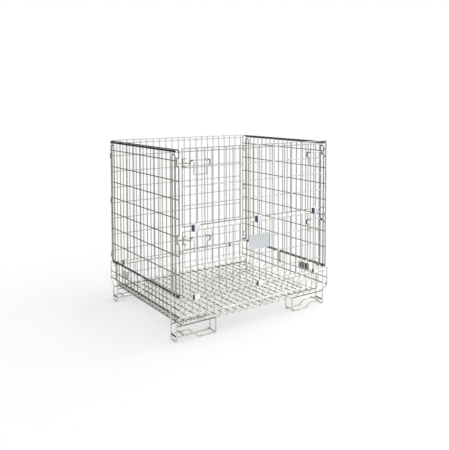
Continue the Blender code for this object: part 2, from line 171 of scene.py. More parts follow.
# ---------------------------------------------------------- latches and catches
LATCH_LEVELS = {"upper": 1.111, "lower": 0.645}
LATCH_OUT = 0.515  # in front of the mesh
LATCH_IN = 0.475  # behind it
LATCH_BEND = 0.0085
LATCH_END_BEND = 0.0055
BOLT_TIP = 0.593
BOLT_ELBOW = 0.552
BOLT_DROP = 0.018
SLOPE_TOP = 0.530
HOOK_X = 0.398
HOOK_DROP = 0.030
LOOP_NEAR = 0.420
LOOP_FAR = 0.513
LOOP_DROP = 0.086
LOOP_END_DROP = 0.012
LATCH_ROUTE = [  # x, distance in front of the middle, and height over the latch's level
    (BOLT_TIP, LATCH_IN, -BOLT_DROP), (BOLT_ELBOW, LATCH_IN, -BOLT_DROP),
    (BOLT_ELBOW, LATCH_OUT, -BOLT_DROP), (SLOPE_TOP, LATCH_OUT, 0.0), (HOOK_X, LATCH_OUT, 0.0),
    (HOOK_X, LATCH_OUT, -HOOK_DROP), (LOOP_NEAR, LATCH_OUT, -HOOK_DROP),
    (LOOP_NEAR, LATCH_OUT, -LOOP_DROP), (LOOP_FAR, LATCH_OUT, -LOOP_DROP),
    (LOOP_FAR, LATCH_OUT, -LOOP_END_DROP),
]
DARK_ENDS = [  # x and height of the worn bends of a latch
    [(0.414, 0.0), (HOOK_X, 0.0), (HOOK_X, -HOOK_DROP), (0.406, -HOOK_DROP)],
    [(0.545, -BOLT_DROP), (BOLT_ELBOW, -BOLT_DROP), (SLOPE_TOP, 0.0), (0.522, 0.0)],
]
CAGE = [(0.560, 0.012), (0.585, 0.012), (0.585, -0.038), (0.560, -0.038)]
CAGE_Y = -END_Y - 0.0055
GUIDE_X = 8 * FRONT_PITCH
GUIDE_RING = 0.0065
SMALL_BEND = 0.005

NOTCH = (-0.020, 0.032)  # the bent part of the side wall's edge, under and over the bolt
NOTCH_BELOW = {"upper": 6, "lower": 2}  # the lying wire under each notch
KEEPER_END = 0.010
CATCH_LEVELS = {"upper": 1.066, "middle": 0.736, "lower": 0.336}
CATCH_X = MESH_X + 0.0063
CATCH_HALF = 0.0175
CATCH_BEND = 0.006

# ------------------------------------------------------------- sheet and plates
SHEET = 0.0014
CLIP_X = 9 * BASE_PITCH
CLIP_W = 0.045
CLIP_PLAY = 0.0004
CLIP_BEND = 0.0060
CLIP_REACH = 0.0305  # from the hinge to a clip's upper edge
GATE_CLIP_REACH = -0.0355
CLIP_SHADE_SHARE = 0.16  # share of a clip's width drawn dark as painted shade
GATE_CLIP_SHADE_SHARE = 0.28
STRAP_W = 0.0276
STRAP_WRAP = ROD_R + 0.0003 + 0.00075  # a gap and half the sheet outside the rod
STRAP_HOOK_DROP = 0.006
LABEL_CORNER = 0.007
ID_CORNER = 0.004
PLATE_MARGIN = 0.003
PLATE_STEP = 0.0006
PLATE_SINK = 0.0004

# ------------------------------------------------------------------------ stage
FLOOR_R = 2.5
# The floor carries a painted glow, weakest round GLOW_CENTRE left of the container, which leaves a
# painted shade there; GLOW_LEAST of it lifts the shadows near the container.
GLOW_CENTRE = (-0.35, 0.15, 0.0)
GLOW_FROM, GLOW_TO = 0.5, 1.7  # where the floor's painted glow starts and ends rising to full
GLOW_LEAST = 0.30
TENT = 1.0  # brightness of the white tent
OPENING = 0.05  # brightness of its dark opening
OPENING_FROM, OPENING_TO = 0.50, 0.80
LIGHT_TARGET = (0, 0, 0.5)

# Numbers of a Mix node's sockets
VALUE_A, VALUE_B, VALUE_OUT = 2, 3, 0
COLOUR_A, COLOUR_B, COLOUR_OUT = 6, 7, 2


# -------------------------------------------------------------------- materials
class Nodes:
    """Short calls for building a node material."""

    def __init__(self, name):
        self.material = bpy.data.materials.new(name)
        self.material.use_nodes = True
        self.tree = self.material.node_tree
        self.shader = self.tree.nodes["Principled BSDF"]
        self.where = self.tree.nodes.new("ShaderNodeTexCoord").outputs["Object"]

    def link(self, source, target):
        self.tree.links.new(source, target)

    def noise(self, scale, detail=3.0, stretch=None):
        node = self.tree.nodes.new("ShaderNodeTexNoise")
        node.inputs["Scale"].default_value = scale
        node.inputs["Detail"].default_value = detail
        where = self.where
        if stretch is not None:
            mapping = self.tree.nodes.new("ShaderNodeMapping")
            mapping.inputs["Scale"].default_value = stretch
            self.link(where, mapping.inputs["Vector"])
            where = mapping.outputs["Vector"]
        self.link(where, node.inputs["Vector"])
        return node.outputs["Fac"]

    def ramp(self, source, stops):
        """A colour ramp between two stops."""
        node = self.tree.nodes.new("ShaderNodeValToRGB")
        for element, (place, colour) in zip(node.color_ramp.elements, stops):
            element.position = place
            element.color = (*colour, 1.0)
        self.link(source, node.inputs["Fac"])
        return node.outputs["Color"]

    def span(self, source, low, high, start=0.3, end=0.7):
        node = self.tree.nodes.new("ShaderNodeMapRange")
        node.inputs["From Min"].default_value = start
        node.inputs["From Max"].default_value = end
        node.inputs["To Min"].default_value = low
        node.inputs["To Max"].default_value = high
        self.link(source, node.inputs["Value"])
        return node.outputs["Result"]

    def blend(self, share, first, second):
        node = self.tree.nodes.new("ShaderNodeMix")
        node.data_type = "RGBA"
        self.link(share, node.inputs["Factor"])
        self.link(first, node.inputs[COLOUR_A])
        self.link(second, node.inputs[COLOUR_B])
        return node.outputs[COLOUR_OUT]

    def bump(self, height, distance, strength):
        node = self.tree.nodes.new("ShaderNodeBump")
        node.inputs["Distance"].default_value = distance
        node.inputs["Strength"].default_value = strength
        self.link(height, node.inputs["Height"])
        self.link(node.outputs["Normal"], self.shader.inputs["Normal"])


def scaled(colour, share):
    return tuple(min(1.0, c * share) for c in colour)


def zinc(name, colour, roughness, metallic=0.9, bloom=(0.74, 0.75, 0.73), patches=0.3):
    """Zinc plating: mottled, with a pale bloom in patches and a finely dimpled skin."""
    nodes = Nodes(name)
    mottle = nodes.ramp(
        nodes.noise(55, 5),
        [(0.32, scaled(colour, 0.72)), (0.68, scaled(colour, 1.16))],
    )
    pale = nodes.ramp(nodes.noise(160, 2), [(0.2, scaled(bloom, 0.85)), (0.8, bloom)])
    share = nodes.span(nodes.noise(11, 4), 0.0, patches, 0.52, 0.72)
    nodes.link(nodes.blend(share, mottle, pale), nodes.shader.inputs["Base Color"])
    rough = nodes.span(nodes.noise(90, 3), roughness - 0.08, roughness + 0.14)
    nodes.link(rough, nodes.shader.inputs["Roughness"])
    nodes.shader.inputs["Metallic"].default_value = metallic
    nodes.bump(nodes.noise(700, 4), 0.0003, 0.35)
    return nodes.material


def rolled_sheet(name, colour, roughness, metallic, grain):
    """Plated sheet: fine rolling lines along one direction, scuffs and dull patches."""
    nodes = Nodes(name)
    lines = nodes.noise(1, 4, grain)
    tone = nodes.ramp(lines, [(0.3, scaled(colour, 0.86)), (0.7, scaled(colour, 1.08))])
    dull = nodes.ramp(nodes.noise(70, 4), [(0.3, scaled(colour, 0.66)), (0.8, colour)])
    share = nodes.span(nodes.noise(26, 5), 0.0, 0.55, 0.5, 0.72)
    nodes.link(nodes.blend(share, tone, dull), nodes.shader.inputs["Base Color"])
    rough = nodes.span(nodes.noise(60, 3), roughness - 0.06, roughness + 0.14)
    nodes.link(rough, nodes.shader.inputs["Roughness"])
    nodes.shader.inputs["Metallic"].default_value = metallic
    nodes.bump(lines, 0.0002, 0.25)
    return nodes.material


# The wires and rods are one zinc plating drawn in tone steps. The steps are painted light and
# shade, set per wall, per part and per wire direction, and the wires that run from front to back
# are darkest.
LIGHT_WIRE = zinc("zinc_light_wire", (0.57, 0.57, 0.54), 0.34)
MID_WIRE = zinc("zinc_mid_wire", (0.52, 0.52, 0.49), 0.36)
FRONT_WIRE = zinc("zinc_front_wire", (0.42, 0.42, 0.405), 0.36)
SIDE_WIRE = zinc("zinc_side_wire", (0.36, 0.36, 0.33), 0.36)
SHADED_WIRE = zinc("zinc_wire_painted_shade", (0.13, 0.13, 0.12), 0.38, patches=0.2)
# The deck's wires in a lit and a shaded copy of one zinc: the cross wires near white as painted
# highlight, the long wires under them dark as painted shade.
DECK_HIGHLIGHT = zinc("zinc_deck_painted_highlight", (0.84, 0.83, 0.765), 0.30)
DECK_SHADE = zinc("zinc_deck_painted_shade", (0.17, 0.17, 0.148), 0.36, patches=0.5)
POST_ROD = zinc("zinc_post_rod", (0.33, 0.33, 0.285), 0.36)
# Near-black and dark olive rods: the top rails, side rims and hinge rods run front to back and are
# darkened as painted shade; the near-black rod also serves the latches' worn bends.
BLACK_ROD = zinc("dark_rod_wear_and_painted_shade", (0.040, 0.042, 0.040), 0.40, 0.75, (0.3, 0.3, 0.28), 0.06)
LOW_ROD = zinc("low_rod_painted_shade", (0.085, 0.085, 0.070), 0.40, 0.75, (0.4, 0.4, 0.38), 0.15)
FOOT_ROD = zinc("zinc_foot_rod", (0.64, 0.64, 0.58), 0.32)
LATCH_ROD = zinc("zinc_latch_rod", (0.56, 0.55, 0.51), 0.32)

GRAIN_ACROSS = (900, 60, 60)
GRAIN_UPRIGHT = (60, 60, 900)
GRAIN_LABEL = (40, 40, 700)
GRAIN_ID = (500, 500, 40)
CLIP_SHEET = rolled_sheet("zinc_clip_sheet", (0.74, 0.79, 0.85), 0.40, 0.45, GRAIN_ACROSS)
CREAM_SHEET = rolled_sheet("zinc_cream_sheet", (0.95, 0.95, 0.92), 0.42, 0.4, GRAIN_ACROSS)
# A dark band of sheet at the left side of each clip: painted shade.
CLIP_SHADE = rolled_sheet("clip_painted_shade", (0.080, 0.086, 0.097), 0.40, 0.6, GRAIN_UPRIGHT)
STRAP_SHEET = rolled_sheet("zinc_strap_sheet", (0.74, 0.75, 0.72), 0.40, 0.6, GRAIN_UPRIGHT)
LABEL_SHEET = rolled_sheet("label_sheet", (0.646, 0.668, 0.686), 0.46, 0.35, GRAIN_LABEL)
# The ID plates are one plate in a shaded and a lit copy: the right one dark as painted shade, the
# left one pale as painted light.
ID_SHEET = rolled_sheet("id_plate_sheet", (0.16, 0.165, 0.15), 0.45, 0.6, GRAIN_ID)
PALE_ID_SHEET = rolled_sheet("pale_id_sheet", (0.46, 0.47, 0.45), 0.45, 0.6, GRAIN_ID)


# -------------------------------------------------------------------- modelling
def place(point):
    x, y, z = point
    return Vector((x, y + SHIFT, z))


def arc(centre, radius, start, end, steps):
    points = []
    for k in range(steps + 1):
        angle = math.radians(start + (end - start) * k / steps)
        points.append((centre[0] + radius * math.cos(angle), centre[1] + radius * math.sin(angle)))
    return points


def rounded(points, radius, steps=8):
    """The route through the points, with each inner corner rounded by an arc."""
    route = [Vector(points[0])]
    for before, corner, after in zip(points, points[1:], points[2:]):
        corner = Vector(corner)
        inward = (Vector(before) - corner).normalized()
        outward = (Vector(after) - corner).normalized()
        half = inward.angle(outward) / 2
        reach = radius / math.tan(half)
        centre = corner + (inward + outward).normalized() * (radius / math.sin(half))
        first = corner + inward * reach - centre
        last = corner + outward * reach - centre
        sweep = first.angle(last)
        for k in range(steps + 1):
            t = k / steps
            share = math.sin((1 - t) * sweep) * first + math.sin(t * sweep) * last
            route.append(centre + share / math.sin(sweep))
    route.append(Vector(points[-1]))
    return route


def finish_piece(piece, body, stands_for):
    bpy.context.scene.collection.objects.link(piece)
    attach(piece, body)
    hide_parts(*stands_for)
    return piece


def wires(name, body, material, radius, routes, stands_for=(), closed=False):
    """One piece made of round wires, each along its own route."""
    curve = bpy.data.curves.new(name, "CURVE")
    curve.dimensions = "3D"
    curve.bevel_depth = radius
    curve.bevel_resolution = 3
    curve.use_fill_caps = not closed
    for route in routes:
        spline = curve.splines.new("POLY")
        spline.points.add(len(route) - 1)
        for point, where in zip(spline.points, route):
            point.co = (*place(where), 1.0)
        spline.use_cyclic_u = closed
    curve.materials.append(material)
    piece = bpy.data.objects.new(name, curve)
    return finish_piece(piece, body, stands_for)


def both(positions):
    """The positions, all over 0, and their mirror images, in order."""
    return sorted([-p for p in positions] + positions)


def half_steps(pitch, count):
    """Positions a pitch apart, with the middle between two of them."""
    return both([pitch * (k + 0.5) for k in range(count)])


def standing(xs, y, low, high):
    return [[(x, y, low), (x, y, high)] for x in xs]


def lying(half, y, levels):
    return [[(-half, y, z), (half, y, z)] for z in levels]


def deep(x, half, z):
    return [(x, -half, z), (x, half, z)]


# ------------------------------------------------------------------------- base
def build_deck_cross_wires():
    """Wires across the deck, turned up at both sides; every second one is heavier. They are drawn
    near white as painted highlight, and their left ends darker as painted shade.
    """
    ys = [DECK_FIRST_Y + DECK_STEP_Y * k for k in range(DECK_ROWS)]
    top = SIDE_HINGE_Z - ROD_R
    across = {WIRE_R: [], HEAVY_R: []}
    left_ends = {WIRE_R: [], HEAVY_R: []}
    back_wire = []
    for y in both(ys):
        right = [(SIDE_X, y, top), (SIDE_X, y, FOLD_Z), (DECK_EDGE_X, y, DECK_Z)]
        left = [(-a, b, c) for a, b, c in right]
        if y == ys[-1]:
            back_wire.append(rounded(left + right[::-1], BASE_BEND, BASE_STEPS))
            continue
        strong = round((abs(y) - DECK_FIRST_Y) / DECK_STEP_Y) % 2 == 1
        radius = HEAVY_R if strong else WIRE_R
        meeting = (-DECK_EDGE_X + BASE_BEND, y, DECK_Z)
        across[radius].append(rounded([meeting] + right[::-1], BASE_BEND, BASE_STEPS))
        left_ends[radius].append(rounded(left + [meeting], BASE_BEND, BASE_STEPS))
    wires("deck_cross_wires", "base", DECK_HIGHLIGHT, WIRE_R, across[WIRE_R],
          ["deck_mesh"])
    wires("deck_cross_bars", "base", DECK_HIGHLIGHT, HEAVY_R, across[HEAVY_R])
    # The last cross wire at the back is drawn in the deck's dark tone: painted shade cast by the
    # back upstand.
    wires("deck_back_wire", "base", DECK_SHADE, WIRE_R, back_wire)
    # The left ends of the cross wires are drawn in the side walls' darker tone: painted shade on
    # the container's left side.
    wires("left_turned_wires", "base", SIDE_WIRE, WIRE_R, left_ends[WIRE_R])
    wires("left_turned_bars", "base", SIDE_WIRE, HEAVY_R, left_ends[HEAVY_R])


def build_deck_long_wires():
    """Wires from front to back under the cross wires, drawn dark as painted shade, and the wires
    turned up at the ends.
    """
    along = {WIRE_R: [], HEAVY_R: []}
    upright = []
    for k in range(BASE_COLUMNS):
        radius = HEAVY_R if k % 2 else WIRE_R
        for x in both([BASE_PITCH * (k + 0.5)]):
            along[radius].append(deep(x, DECK_EDGE_Y, DECK_UNDER_Z))
            for end, sign in ENDS.items():
                y = sign * (END_Y - LAP)
                corners = [
                    (x, sign * DECK_EDGE_Y, DECK_UNDER_Z), (x, y, FOLD_Z),
                    (x, y, END_HINGE_Z[end]),
                ]
                start = Vector((x, sign * (DECK_EDGE_Y - TURN_LEAD), DECK_UNDER_Z))
                upright.append([start] + rounded(corners, BASE_BEND, BASE_STEPS))
    wires("deck_long_wires", "base", DECK_SHADE, WIRE_R, along[WIRE_R])
    wires("deck_long_bars", "base", DECK_SHADE, HEAVY_R, along[HEAVY_R])
    wires("end_upstand_wires", "base", LIGHT_WIRE, UPSTAND_R, upright,
          ["front_upstand", "back_upstand"])


def build_base_bars():
    bars = []
    for sign in ENDS.values():
        for half, y, z in END_BARS:
            bars += lying(half, sign * y, [z])
    half, y, z = SLOPE_BAR
    bars += lying(half, y, [z])
    # The edge bars and side bars take the deck's painted highlight.
    wires("base_edge_bars", "base", DECK_HIGHLIGHT, HEAVY_R, bars)
    bars = [deep(sign * DECK_EDGE_X, DECK_EDGE_Y, DECK_UNDER_Z) for sign in SIDES.values()]
    wires("deck_side_bars", "base", DECK_HIGHLIGHT, DECK_SIDE_R, bars)


def build_hinges():
    for side, sign in SIDES.items():
        for name, (radius, z) in UPSTAND_WIRES.items():
            stands_for = [f"{side}_upstand"] if name == "upper" else []
            # The upstand wires run front to back and are drawn in painted shade.
            wires(f"{side}_upstand_{name}_wire", "base", SHADED_WIRE, radius,
                  [deep(sign * UPSTAND_X, END_Y, z)], stands_for)
        # The hinge rods are drawn dark as painted shade.
        wires(f"{side}_hinge_rod_round", "base", LOW_ROD, ROD_R,
              [deep(sign * SIDE_X, EDGE_Y, SIDE_HINGE_Z)], [f"{side}_hinge_rod"])
    for end, sign in ENDS.items():
        wires(f"{end}_hinge_rail_round", "base", LIGHT_WIRE, ROD_R,
              lying(EDGE_X, sign * END_Y, [END_HINGE_Z[end]]), [f"{end}_hinge_rail"])


def build_foot(side, end):
    """Two skid wires, two bars across them and an end loop whose legs go up to the hinge."""
    sx, sy = SIDES[side], ENDS[end]
    near, far = FOOT_YS
    skid = [
        (FOOT_IN, SKID_TOP), (FOOT_IN, FOOT_R), (SKID_FLAT_END, FOOT_R),
        (SKID_RISE_END, SKID_HIGH), (FOOT_OUT, SKID_HIGH),
    ]
    routes = [rounded([(sx * x, sy * y, z) for x, z in skid], SKID_BEND) for y in FOOT_YS]
    loop = [
        (near, FOOT_TOP), (near, FOOT_R), (far, FOOT_R), (far, DECK_Z), (END_Y, FOLD_Z),
        (END_Y, FOOT_TOP),
    ]
    routes.append(rounded([(sx * FOOT_OUT, sy * y, z) for y, z in loop], FOOT_BEND))
    for x, z in FOOT_BARS:
        low, high = near - FOOT_BAR_PAST, far + FOOT_BAR_PAST
        routes.append([(sx * x, sy * low, z), (sx * x, sy * high, z)])
    wires(f"{end}_{side}_foot_round", "base", FOOT_ROD, FOOT_R, routes,
          [f"{end}_{side}_foot"])
    tops = [
        [(sx * FOOT_IN, sy * y, FOOT_TOPS_Z), (sx * FOOT_OUT, sy * y, FOOT_TOPS_Z)]
        for y in FOOT_YS
    ]
    # Dark wires on top of the feet, under the deck, drawn in painted shade.
    wires(f"{end}_{side}_foot_tops", "base", SHADED_WIRE, FOOT_TOP_R, tops)
    bar = [
        (sx * FOOT_OUT, sy * (near + DARK_BAR_SHORT), DARK_BAR_Z),
        (sx * FOOT_OUT, sy * (far - DARK_BAR_SHORT), DARK_BAR_Z),
    ]
    wires(f"{end}_{side}_foot_bar", "base", BLACK_ROD, FOOT_BAR_R, [bar])


# ------------------------------------------------------------------- side walls
def build_side_mesh(side, sign):
    """Standing wires, and lying ones outside them; those over a notch end beside the post."""
    body = f"{side}_wall"
    x = sign * MESH_X
    outer = x + sign * SIDE_LAP
    over_notch = [SIDE_LEVELS[k + 1] for k in NOTCH_BELOW.values()]
    routes = []
    for z in SIDE_LEVELS[1:]:
        front = BESIDE_POST if z in over_notch else EDGE_Y
        routes.append([(outer, -front, z), (outer, EDGE_Y, z)])
    # The lying wires run front to back and are drawn in painted shade.
    wires(f"{side}_wall_lying_wires", body, SHADED_WIRE, WIRE_R, routes,
          [f"{side}_wall_mesh"])
    # The bottom wire is drawn dark as painted shade.
    wires(f"{side}_wall_bottom_wire", body, LOW_ROD, SIDE_EDGE_R,
          [deep(x, EDGE_Y, SIDE_LEVELS[0])])
    low = SIDE_LEVELS[0] - WIRE_R
    routes = [[(x, y, low), (x, y, SIDE_TOP)] for y in half_steps(SIDE_PITCH, SIDE_HALF_COUNT)]
    wires(f"{side}_wall_standing_wires", body, SIDE_WIRE, WIRE_R, routes)


def build_side_edges(side, sign):
    """The rim, the edge wires, and the front edge's bends round the two bolts."""
    body = f"{side}_wall"
    x = sign * MESH_X
    under = SIDE_TOP - RIM_DROP
    rim = [(x, -EDGE_Y, under), (x, -EDGE_Y, SIDE_TOP), (x, EDGE_Y, SIDE_TOP), (x, EDGE_Y, under)]
    # The rim runs front to back and is drawn near black as painted shade.
    wires(f"{side}_wall_rim", body, BLACK_ROD, SIDE_EDGE_R, [rounded(rim, RIM_BEND)])

    below = {level: SIDE_LEVELS[k] for level, k in NOTCH_BELOW.items()}
    notches = {
        level: [z - BOLT_DROP + step for step in NOTCH] for level, z in LATCH_LEVELS.items()
    }
    spans = [
        (notches["upper"][1], under), (notches["lower"][1], below["upper"]),
        (SIDE_LEVELS[0], below["lower"]),
    ]
    edges = [[(x, -EDGE_Y, low), (x, -EDGE_Y, high)] for low, high in spans]
    edges.append([(x, EDGE_Y, SIDE_LEVELS[0]), (x, EDGE_Y, under)])
    wires(f"{side}_wall_edges", body, POST_ROD, SIDE_EDGE_R, edges)

    for level, (turn, back) in notches.items():
        corners = [
            (EDGE_Y, below[level]), (EDGE_Y, turn), (BESIDE_POST, turn), (BESIDE_POST, back),
            (EDGE_Y, back), (EDGE_Y, back + KEEPER_END),
        ]
        route = rounded([(x, -y, z) for y, z in corners], SMALL_BEND)
        wires(f"{side}_{level}_keeper_round", body, POST_ROD, KEEPER_R, [route],
              [f"{side}_{level}_keeper"])


def build_side_catches(side, sign):
    for level, z in CATCH_LEVELS.items():
        low, high = z - CATCH_HALF, z + CATCH_HALF
        corners = [(BESIDE_POST, low), (EDGE_Y, low), (EDGE_Y, high), (BESIDE_POST, high)]
        route = rounded([(sign * CATCH_X, y, h) for y, h in corners], CATCH_BEND)
        wires(f"{side}_{level}_catch_round", f"{side}_wall", POST_ROD, CATCH_R, [route],
              [f"{side}_{level}_catch"])


def build_side_frame(side, sign):
    """The top rail, and hairpin posts whose lower ends are eyes round the hinge rod."""
    body = f"{side}_wall"
    # The left top rail is drawn darker than the right one: painted shade.
    paint = BLACK_ROD if side == "left" else LOW_ROD
    wires(f"{side}_top_rail_round", body, paint, RAIL_R,
          [deep(sign * RAIL.x, RAIL_HALF, RAIL.z)], [f"{side}_top_rail"])
    eye = arc((SIDE_X, SIDE_HINGE_Z), POST_X - SIDE_X, EYE_START, 0, 24)
    for end, y_sign in ENDS.items():
        near, far = [[Vector((sign * a, y_sign * y, z)) for a, z in eye] for y in POST_YS]
        crown = [Vector((sign * POST_X, y_sign * y, POST_TOP)) for y in POST_YS]
        bend = rounded([near[-1], *crown, far[-1]], POST_BEND, 10)[1:-1]
        wires(f"{side}_{end}_post_round", body, POST_ROD, ROD_R,
              [near + bend + far[::-1]], [f"{side}_{end}_post"])


# --------------------------------------------------------------- back and front
def build_back_wall():
    body = "back_wall"
    wires("back_wall_lying_wires", body, MID_WIRE, WIRE_R,
          lying(EDGE_X, END_Y, BACK_LEVELS), ["back_wall_mesh"])
    low, top = BACK_LEVELS[0] - WIRE_R, BACK_LEVELS[-1]
    routes = []
    for x in half_steps(BACK_PITCH, BACK_HALF_COUNT):
        behind_clip = abs(abs(x) - CLIP_X) < CLIP_W / 2 + WIRE_R
        start = BACK_CUT_START if behind_clip else low
        routes += standing([x], END_Y - LAP, start, top)
    wires("back_wall_standing_wires", body, MID_WIRE, WIRE_R, routes)
    wires("back_wall_rim", body, LIGHT_WIRE, BACK_EDGE_R,
          standing((-EDGE_X, EDGE_X), END_Y, low, top + WIRE_R))


def build_front_half(body, light_levels, low, top, standing_top):
    """The mesh of the lower front or of the gate, without the gate's darker wires."""
    wires(f"{body}_lying_wires", body, LIGHT_WIRE, WIRE_R,
          lying(EDGE_X, -END_Y, light_levels), [f"{body}_mesh"])
    routes = []
    for n in range(-FRONT_HALF_COUNT, FRONT_HALF_COUNT + 1):
        start, end = low, standing_top
        if abs(n) in CUT_WIRES:
            start, end = CUT_SPANS[body]
        routes += standing([n * FRONT_PITCH], -END_Y + LAP, start, end)
    wires(f"{body}_standing_wires", body, FRONT_WIRE, WIRE_R, routes)
    wires(f"{body}_rim", body, SIDE_WIRE, FRONT_EDGE_R,
          standing((-EDGE_X, EDGE_X), -END_Y, low, top + WIRE_R))


def build_front():
    top = LOWER_LEVELS[-1]
    build_front_half("front_lower", LOWER_LEVELS, LOWER_LEVELS[0] - WIRE_R, top, top + WIRE_R)
    top = GATE_LEVELS[-1]
    build_front_half("gate", GATE_LEVELS[1:-2], GATE_LEVELS[0] - WIRE_R, top, top)
    wires("gate_top_wires", "gate", FRONT_WIRE, WIRE_R,
          lying(EDGE_X, -END_Y, GATE_LEVELS[-2:]))
    wires("gate_bottom_wire", "gate", POST_ROD, GATE_BOTTOM_R,
          lying(EDGE_X, -END_Y, GATE_LEVELS[:1]))


def build_latch(side, sign, level, z):
    """A bent wire with its worn bends, the bracket round its bolt and the ring it slides in."""
    name = f"{side}_{level}"
    body = f"{name}_latch_body"
    owner = "gate" if level == "upper" else "front_lower"
    route = rounded([(sign * x, -y, z + rise) for x, y, rise in LATCH_ROUTE], LATCH_BEND)
    wires(f"{name}_latch_round", body, LATCH_ROD, LATCH_R, [route], [f"{name}_latch"])
    routes = [
        rounded([(sign * x, -LATCH_OUT, z + rise) for x, rise in end], LATCH_END_BEND)
        for end in DARK_ENDS
    ]
    wires(f"{name}_latch_ends", body, BLACK_ROD, LATCH_END_R, routes)
    route = rounded([(sign * x, CAGE_Y, z + rise) for x, rise in CAGE], SMALL_BEND)
    wires(f"{name}_bolt_cage", owner, POST_ROD, CAGE_R, [route])
    ring = arc((-LATCH_OUT, z), GUIDE_RING, 0, 350, 35)
    wires(f"{name}_guide_round", owner, LATCH_ROD, GUIDE_R,
          [[(sign * GUIDE_X, y, h) for y, h in ring]], [f"{name}_guide"], closed=True)


# ------------------------------------------------------------- sheet and plates
def soften(piece, width):
    """Small rounded edges, with smooth shading between the sharp ones."""
    bevel = piece.modifiers.new("rounded_edges", "BEVEL")
    bevel.width = width
    bevel.segments = 2
    bevel.limit_method = "ANGLE"
    bevel.angle_limit = math.radians(40)
    for polygon in piece.data.polygons:
        polygon.use_smooth = True
    piece.data.set_sharp_from_angle(angle=math.radians(35))


def mesh_object(name, bm, materials):
    mesh = bpy.data.meshes.new(name)
    bm.to_mesh(mesh)
    bm.free()
    for material in materials:
        mesh.materials.append(material)
    return bpy.data.objects.new(name, mesh)


def sheet_piece(name, body, materials, profile, widths, matrix, node):
    """A strip of sheet bent along an open profile, in one material after another."""
    bm = bmesh.new()
    verts = [bm.verts.new((-sum(widths) / 2, y, z)) for y, z in profile]
    edges = [bm.edges.new(pair) for pair in zip(verts, verts[1:])]
    for index, width in enumerate(widths):
        drawn = bmesh.ops.extrude_edge_only(bm, edges=edges)["geom"]
        moved = [v for v in drawn if isinstance(v, bmesh.types.BMVert)]
        bmesh.ops.translate(bm, verts=moved, vec=(width, 0, 0))
        for face in [g for g in drawn if isinstance(g, bmesh.types.BMFace)]:
            face.material_index = index
        far = set(moved)
        edges = [
            g for g in drawn if isinstance(g, bmesh.types.BMEdge) and far.issuperset(g.verts)
        ]
    bmesh.ops.transform(bm, matrix=matrix, verts=bm.verts)
    bmesh.ops.recalc_face_normals(bm, faces=bm.faces)
    piece = mesh_object(name, bm, materials)
    wall = piece.modifiers.new("wall", "SOLIDIFY")
    wall.thickness = SHEET
    wall.offset = 0
    wall.use_even_offset = True
    soften(piece, 0.0004)
    return finish_piece(piece, body, [node])


def build_clips():
    rows = [
        ("back_hinge_clip", "back_wall", END_Y, END_HINGE_Z["back"], CLIP_REACH,
         CLIP_SHADE_SHARE, CREAM_SHEET),
        ("front_hinge_clip", "front_lower", -END_Y, END_HINGE_Z["front"], CLIP_REACH,
         CLIP_SHADE_SHARE, CREAM_SHEET),
        ("gate_hinge_clip", "front_lower", -END_Y, GATE_HINGE_Z, GATE_CLIP_REACH,
         GATE_CLIP_SHADE_SHARE, CLIP_SHEET),
    ]
    for stem, body, y, z, reach, share, face in rows:
        bend = arc((0, 0), CLIP_BEND, 180, 360 if reach > 0 else 0, 14)
        profile = [(bend[0][0], reach)] + bend + [(bend[-1][0], reach)]
        for where in ("left", "middle", "right"):
            node = f"{stem}_{where}"
            width = thickness(node, 0) - CLIP_PLAY
            widths = [width * share, width * (1 - share)]
            matrix = Matrix.Translation(place((middle(node).x, y, z)))
            sheet_piece(f"{node}_sheet", body, [CLIP_SHADE, face], profile, widths, matrix, node)


def build_strap(side, sign):
    """A strap hooked over the hinge rod, outside the side wall."""
    node = f"{side}_centre_strap"
    hook = arc((0, SIDE_HINGE_Z), STRAP_WRAP, 0, 180, 14)
    end = (-STRAP_WRAP, SIDE_HINGE_Z - STRAP_HOOK_DROP)
    profile = [(STRAP_WRAP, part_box(node)[0].z)] + hook + [end]
    turn = Matrix.Rotation(math.radians(-90 * sign), 4, "Z")
    matrix = Matrix.Translation(Vector((sign * SIDE_X, middle(node).y, 0))) @ turn
    sheet_piece(f"{side}_strap_sheet", "base", [STRAP_SHEET], profile, [STRAP_W], matrix, node)


def plate_piece(name, body, material, node, corner):
    """A plate with rounded corners and a low raised rim, in the box of a CAD plate."""
    low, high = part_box(node)
    size = high - low
    thin = min(range(3), key=lambda axis: size[axis])
    wide, tall = [axis for axis in range(3) if axis != thin]
    u_far, v_far = size[wide] / 2 - corner, size[tall] / 2 - corner
    outline = []
    for u, v, start in ((1, 1, 0), (-1, 1, 90), (-1, -1, 180), (1, -1, 270)):
        outline += arc((u * u_far, v * v_far), corner, start, start + 90, 5)
    bm = bmesh.new()
    verts = []
    for u, v in outline:
        point = (low + high) / 2
        point[wide] += u
        point[tall] += v
        point[thin] = low[thin]
        verts.append(bm.verts.new(point))
    lifted = bmesh.ops.extrude_face_region(bm, geom=[bm.faces.new(verts)])
    step = Vector((0, 0, 0))
    step[thin] = size[thin]
    moved = [v for v in lifted["geom"] if isinstance(v, bmesh.types.BMVert)]
    bmesh.ops.translate(bm, verts=moved, vec=step)
    bmesh.ops.recalc_face_normals(bm, faces=bm.faces)
    for width, depth in ((PLATE_MARGIN, 0.0), (PLATE_STEP, -PLATE_SINK)):
        broad = [f for f in bm.faces if len(f.verts) > 4]
        bmesh.ops.inset_individual(bm, faces=broad, thickness=width, depth=depth)
    piece = mesh_object(name, bm, [material])
    soften(piece, 0.0003)
    return finish_piece(piece, body, [node])


def build_plates():
    plate_piece("label_plate_sheet", "front_lower", LABEL_SHEET, "label_plate", LABEL_CORNER)
    for side, sign in SIDES.items():
        # The right plate takes the painted shade, the left one the painted light.
        sheet = ID_SHEET if side == "right" else PALE_ID_SHEET
        plate_piece(f"{side}_id_plate_sheet", "base", sheet, f"{side}_id_plate", ID_CORNER)
        build_strap(side, sign)


